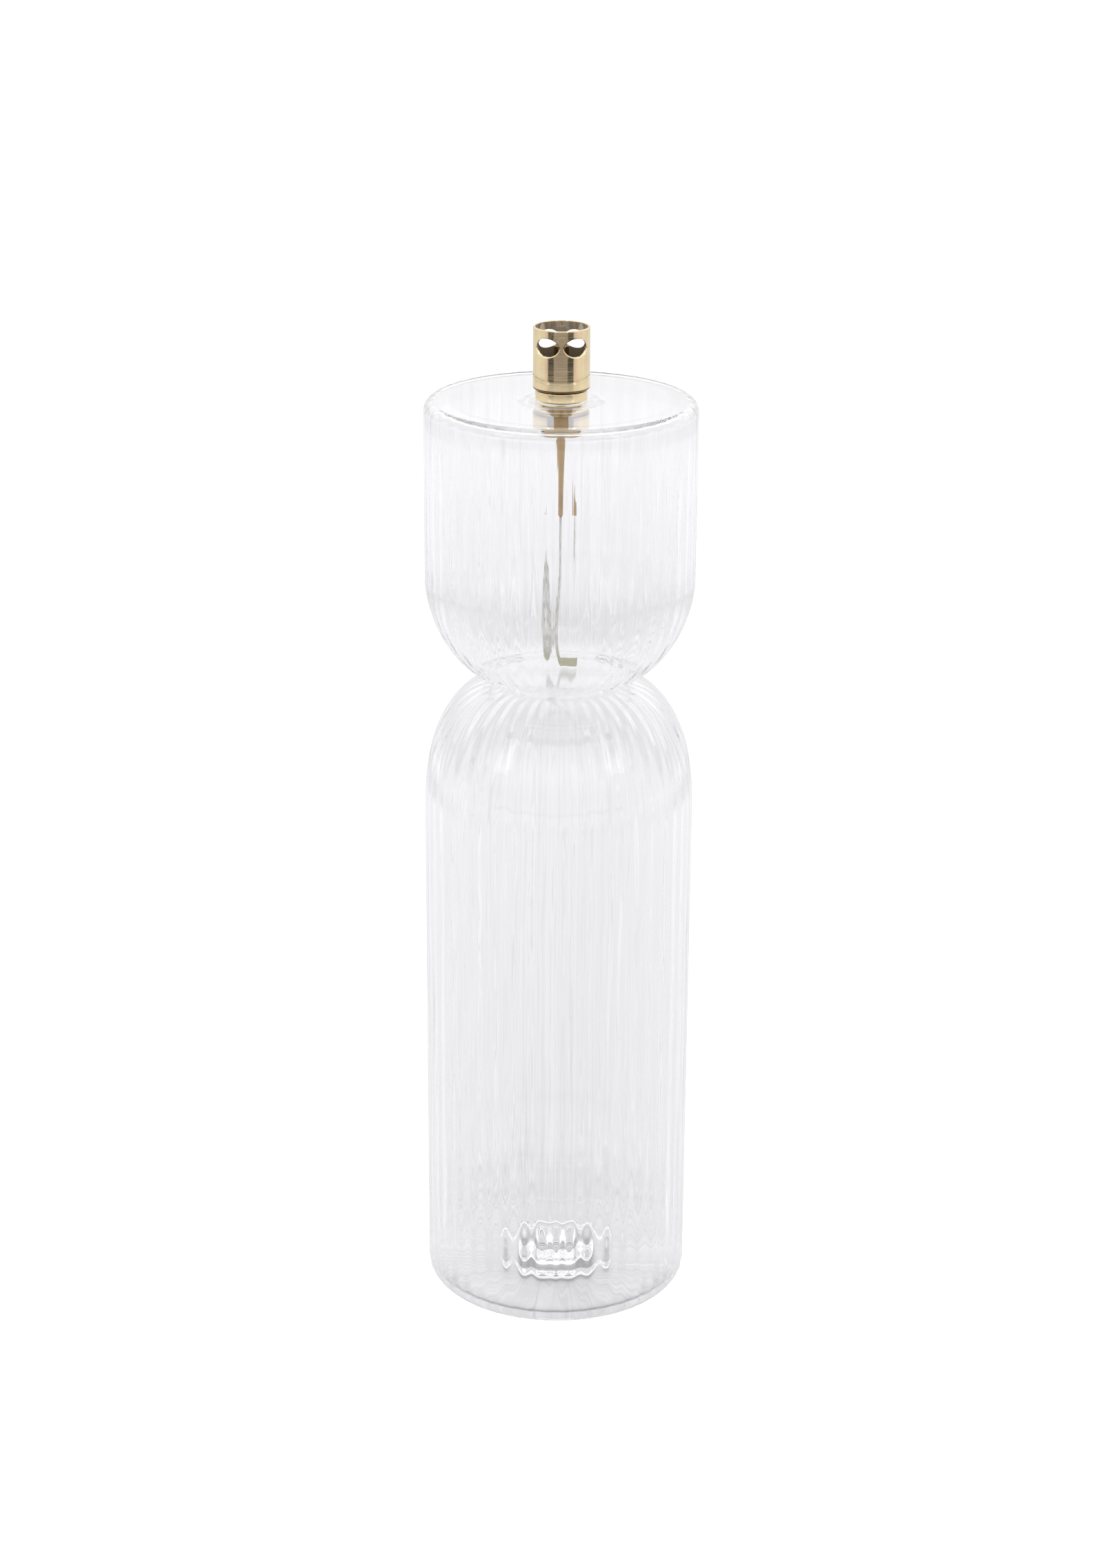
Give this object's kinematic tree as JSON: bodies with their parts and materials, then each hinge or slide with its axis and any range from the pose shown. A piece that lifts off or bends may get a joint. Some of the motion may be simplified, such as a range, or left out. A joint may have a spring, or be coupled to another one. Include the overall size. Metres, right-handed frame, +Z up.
{
  "type": "oil lamp",
  "caption": "Clear ribbed-glass oil lamp: an oil vessel with a bowl base on a tall domed stand, with a lift-out brass burner and a fibre wick.",
  "frame": {"origin": "on the lamp's axis, at the flat ring that it stands on", "axes": "+Z up along the lamp's axis; -Y is the front, between two of the sleeve's air holes"},
  "size_m": [0.086, 0.086, 0.3225],
  "materials": {
    "clear_glass": "clear colourless blown glass, ribbed outside",
    "brass": "polished brass",
    "silicone": "translucent pale silicone",
    "glass_fibre": "braided white glass fibre"
  },
  "bodies": {
    "glass": {"stand_glass": "clear_glass", "reservoir_glass": "clear_glass"},
    "seal": {"seal_ring": "silicone"},
    "burner": {"burner_plug": "brass", "wick_tube": "brass"},
    "sleeve": {"burner_sleeve": "brass"},
    "wick": {"wick": "glass_fibre", "wick_tail": "glass_fibre"}
  },
  "joints": [
    {"name": "burner_lift", "type": "slide", "parent": "glass", "child": "seal", "axis": [0, 0, 1], "range_m": [0, 0.095]},
    {"name": "burner_turn", "type": "hinge", "parent": "seal", "child": "burner", "pos_m": [0, 0, 0.2988], "axis": [0, 0, 1], "continuous": true},
    {"name": "sleeve_lift", "type": "slide", "parent": "burner", "child": "sleeve", "axis": [0, 0, 1], "range_m": [0, 0.022]},
    {"name": "wick_feed", "type": "slide", "parent": "burner", "child": "wick", "axis": [0, 0, 1], "range_m": [0, 0.004]}
  ]
}
